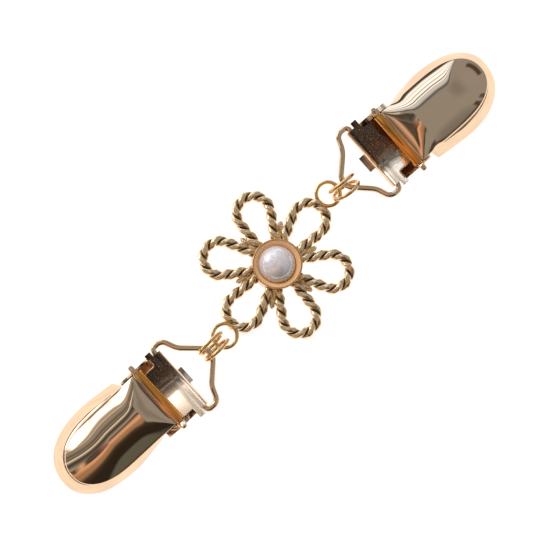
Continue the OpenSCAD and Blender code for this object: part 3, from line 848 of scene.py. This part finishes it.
# Points of half an outline: shares of the rear's half width, places along the side, angles at the tip
REAR_POINTS = (0, 0.3, 0.6, 0.85)
SIDE_POINTS = (REAR_X, 8.6, 9.5, 10.5, FLANGE_START, 11.3, 11.65, FLANGE_FIRST, 12.6, 14.0, 16.5, FLANGE_WIDE)
TIP_POINTS = (0, 12, 24, 36, 48, 60, 72, 82)


def hinge_place(side):
    """The roll's axis: X towards the cover's tip, Y to its left."""
    joint = [row for row in frame["joints"] if row["name"] == f"swivel_{side}"][0]
    left = -Vector(joint["axis"]).normalized()
    forward = left.cross(UP)
    return Matrix.Translation(joint["pos_m"]) @ Matrix((forward, left, UP)).transposed().to_4x4()


def clip_place(side):
    """The clip's rear edge on the surface, with the same directions."""
    return hinge_place(side) @ shift(-ROLL_X, 0, -ROLL_Z)


def hip_round(x, y, rear, half, share):
    """Pulls a point near the rear corner of an outline onto the corner's arc."""
    radius = min(half * 0.9, HIP_ROUND * (1 - share))
    in_x, in_y = rear + radius - x, abs(y) - (half - radius)
    if radius < 0.05 or in_x <= 0 or in_y <= 0:
        return x, y
    scale = radius / math.hypot(in_x, in_y)
    return rear + radius - in_x * scale, math.copysign(half - radius + in_y * scale, y)


def half_outline(way, share, out):
    """Half of a closed outline, from the middle of the rear to just before the tip."""
    rear = REAR_X + (1 - share) * ROOF_RUN
    half = DOME_HALF * share
    flange, grown = (FLANGE_FAR, FLANGE_GROWTH[0]) if way > 0 else (FLANGE_NEAR, FLANGE_GROWTH[1])
    tip = (TIP_ROUND - FLANGE_TIP) * share + out * FLANGE_TIP
    points = [(rear, way * half * k) for k in REAR_POINTS]
    for station in SIDE_POINTS:
        x = rear + (FRONT_X - rear) * (station - REAR_X) / (FRONT_X - REAR_X)
        width = (grown * share_between(x, FLANGE_START, FLANGE_FIRST)
                 + (1 - grown) * share_between(x, FLANGE_START, FLANGE_WIDE))
        points.append((x, way * (half + out * flange * width)))
    points = [hip_round(x, y, rear, half, share) for x, y in points]
    for angle in TIP_POINTS:
        along = math.sin(math.radians(angle)) ** TIP_POWER
        aside = math.cos(math.radians(angle)) ** TIP_POWER
        points.append((FRONT_X + tip * along, way * (half + out * flange) * aside))
    return points


def outline(share, out):
    """A closed outline seen from above: a share of the dome's size, pushed out over the flange."""
    far = half_outline(1, share, out)
    near = half_outline(-1, share, out)
    tip = FRONT_X + (TIP_ROUND - FLANGE_TIP) * share + out * FLANGE_TIP
    return far + [(tip, 0)] + near[:0:-1]


def crease_height(x):
    """Height of the crease between flange and dome, which falls smoothly from the rear."""
    share = share_between(x, REAR_X, CREASE_LOW_X)
    return REAR_Z + (CREASE_Z - REAR_Z) * share * share * (3 - 2 * share)


def skirt_height(x):
    """Height of the flange's lower edge, which falls beyond the ear."""
    return CHEEK_Z + (SKIRT_Z - CHEEK_Z) * share_between(x, FLANGE_START, FLANGE_FIRST)


def cover_shell():
    """The cover's skin as rows of one outline, from the flange's edge up to the flat roof."""
    rows = []
    for out, lift in FLANGE_ROWS:
        rows.append([(x, y, skirt_height(x) + (crease_height(x) - GROOVE - skirt_height(x)) * lift)
                     for x, y in outline(1, out)])
    for share in DOME_ROWS:
        rows.append([])
        for (x, y), (edge_x, _) in zip(outline(share, 0), outline(1, 0)):
            crease = crease_height(edge_x)
            rows[-1].append((x, y, crease + (TOP_Z - crease) * (1 - share ** DOME_POWER)))
    count = len(rows[0])
    points = [Vector((x, y + COVER_SHIFT, z)) * MM for row in rows for x, y, z in row]
    faces = [(i * count + k, i * count + (k + 1) % count, (i + 1) * count + (k + 1) % count,
              (i + 1) * count + k) for i in range(len(rows) - 1) for k in range(count)]
    top = (len(rows) - 1) * count
    faces.append((top, top + 1, top + count - 1))
    faces += [(top + k, top + k + 1, top + count - k - 1, top + count - k) for k in range(1, count // 2)]
    mesh = bpy.data.meshes.new("cover")
    mesh.from_pydata(points, [], faces)
    piece = bpy.data.objects.new("cover", mesh)
    bpy.context.scene.collection.objects.link(piece)
    tidy_mesh(piece)
    modify(piece, "SOLIDIFY", thickness=COVER_WALL * MM, offset=-1, use_rim=True)
    modify(piece, "SUBSURF", levels=3, render_levels=3)
    return piece


def cover_rod(name, x, z, radius, **sizes):
    """A rod as long as the cover is wide."""
    edge = DOME_HALF - 0.06
    return rod(name, x, z, radius, COVER_SHIFT - edge, COVER_SHIFT + edge, **sizes)


def cover(side):
    """The lever cover's shell with its fine rolled rear edge."""
    shell = cover_shell()
    bead = cover_rod("bead", REAR_X - 0.12, 5.52, 0.26, bevel=0.1, sides=24)
    return settle(joined([shell, bead], f"lever_cover_{side}"), clip_place(side), smooth=35)


def barrel(side):
    """The cover's barrel round the hinge pin."""
    return settle(cover_rod(f"barrel_{side}", PIN_X, PIN_Z, BARREL_R), clip_place(side), smooth=35)


def pin(side):
    """The hinge pin with its rounded ends."""
    piece = rod(f"hinge_pin_{side}", PIN_X, PIN_Z, PIN_R, PIN_NEAR, PIN_FAR, bevel=0.5, sides=32)
    return settle(piece, clip_place(side))


def sheet(node):
    """A copy of a CAD plate with merged faces and softened edges, marked with its place in the clip."""
    piece = copy_of(frame["nodes"][node], f"{node}_sheet")
    tidy_mesh(piece)
    edit(piece)
    bpy.ops.mesh.select_all(action="SELECT")
    bpy.ops.mesh.dissolve_limited(angle_limit=math.radians(1))
    done()
    modify(piece, "BEVEL", width=0.08 * MM, segments=3, limit_method="ANGLE",
           angle_limit=math.radians(35), harden_normals=False)
    settle(piece, smooth=35)
    side = node[-1]
    back = clip_place(side).inverted()
    # Clip b's painted shade lies on the other side and further out
    way, shade_back = (1, 0.0) if side == "a" else (-1, 3.0)
    marks = piece.data.attributes.new("clip_place", "FLOAT_VECTOR", "POINT")
    for point, mark in zip(piece.data.vertices, marks.data):
        x, y, z = (back @ point.co) / MM
        mark.vector = (x, y * way - shade_back, z)
    return piece


def notch_rim(side):
    """The turned-up bright edge round the side notch."""
    z, inner = PLATE_TOP - 0.05, NOTCH_OPEN + NOTCH_DEPTH
    line = path(f"notch_rim_{side}", [
        (NOTCH_REAR, NOTCH_OPEN, z), (NOTCH_REAR, inner, z), (NOTCH_FRONT, inner, z),
        (NOTCH_FRONT, NOTCH_OPEN, z)])
    for x in (NOTCH_REAR, NOTCH_FRONT):
        round_corner(line, (x, inner, z), 0.5, 6)
    return settle(into_wire(line, 0.2, sides=12), clip_place(side))


def build():
    """Makes every piece and puts it on its body."""
    wear(petals(), "ornament", "gold_cast", "flower_frame")
    wall, slope = cup()
    for piece, finish in ((webs(), None), (eyes(), "gold_ring"), (wall, "gold_ring"), (slope, "gold_cup")):
        wear(settle(piece, smooth=50), "ornament", "gold_cast", finish=finish)
    wear(settle(pearl(), smooth=50), "ornament", "pearl", "pearl")
    for side in "ab":
        for which in (1, 2):
            wear(jump_ring(side, which), "ornament", "gold_wire", f"ring_{side}{which}", finish="gold_ring")
        wear(bail(side), "ornament", "gold_wire", f"bail_{side}")
        wear(cover(side), f"lever_{side}", "gold_cover", f"cover_{side}")
        wear(barrel(side), f"lever_{side}", "gold_cover", finish="gold_barrel")
        wear(pin(side), f"clip_{side}", "gold_plate", f"pin_{side}", finish="gold_pin")
        for plate in (f"base_{side}", f"jaw_{side}"):
            wear(sheet(plate), f"clip_{side}", "gold_plate", plate)
        wear(notch_rim(side), f"clip_{side}", "gold_plate", finish="gold_pin")


build()
room()
table()
softbox((0.02, 0.42, 0.55), target=(0, 0, 0), size=0.3, power=3.8)
camera()
bpy.context.scene.view_settings.view_transform = "Standard"

for row in frame["record"]["subparts"]:
    node = frame["nodes"][row["node"]]
    node.data.materials.clear()
    node.data.materials.append(FINISHES[row["material_slot"]])
